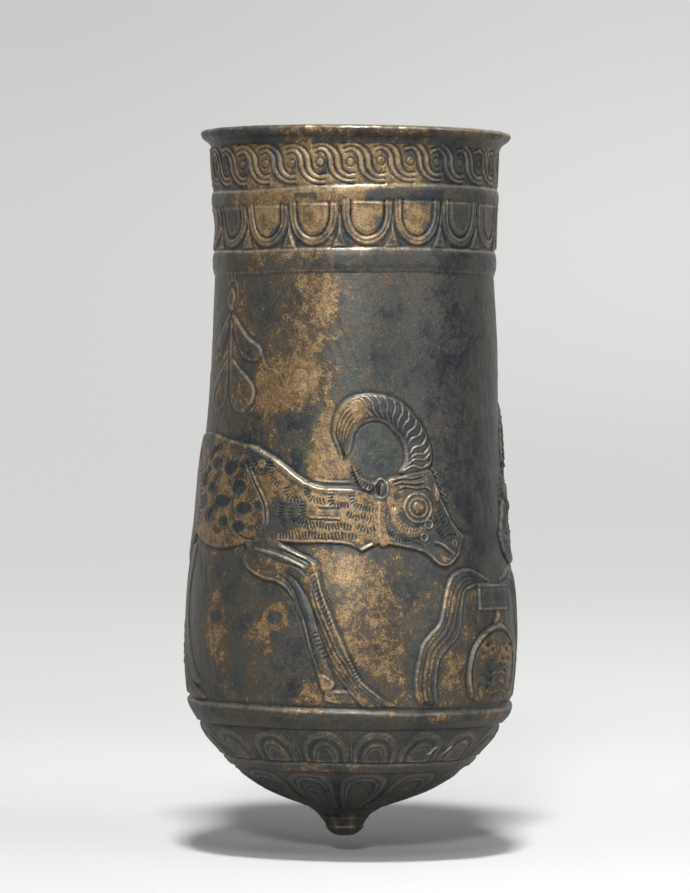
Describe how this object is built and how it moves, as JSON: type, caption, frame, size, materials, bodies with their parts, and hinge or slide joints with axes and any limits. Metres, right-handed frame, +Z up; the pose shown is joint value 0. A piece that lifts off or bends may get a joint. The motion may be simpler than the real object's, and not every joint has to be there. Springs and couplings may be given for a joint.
{
  "type": "situla",
  "caption": "Tall hammered bronze beaker with a flared rim, a frieze of facing rams, ornament bands and a small button foot.",
  "frame": {"origin": "tip of the foot, on the axis of the vessel", "axes": "+Z up along the axis of the vessel; -Y is the front that the picture shows"},
  "size_m": [0.0713, 0.071, 0.15],
  "materials": {
    "wall_bronze": "dark patinated bronze, worn to golden brown in patches",
    "bowl_bronze": "dark brown patinated bronze",
    "foot_bronze": "dark brown cast bronze, worn bright on its edges",
    "rove_bronze": "dull brown bronze"
  },
  "bodies": {
    "root": {"wall": "wall_bronze", "base_bowl": "bowl_bronze", "foot_knob": "foot_bronze", "rivet_rove": "rove_bronze"}
  },
  "joints": []
}
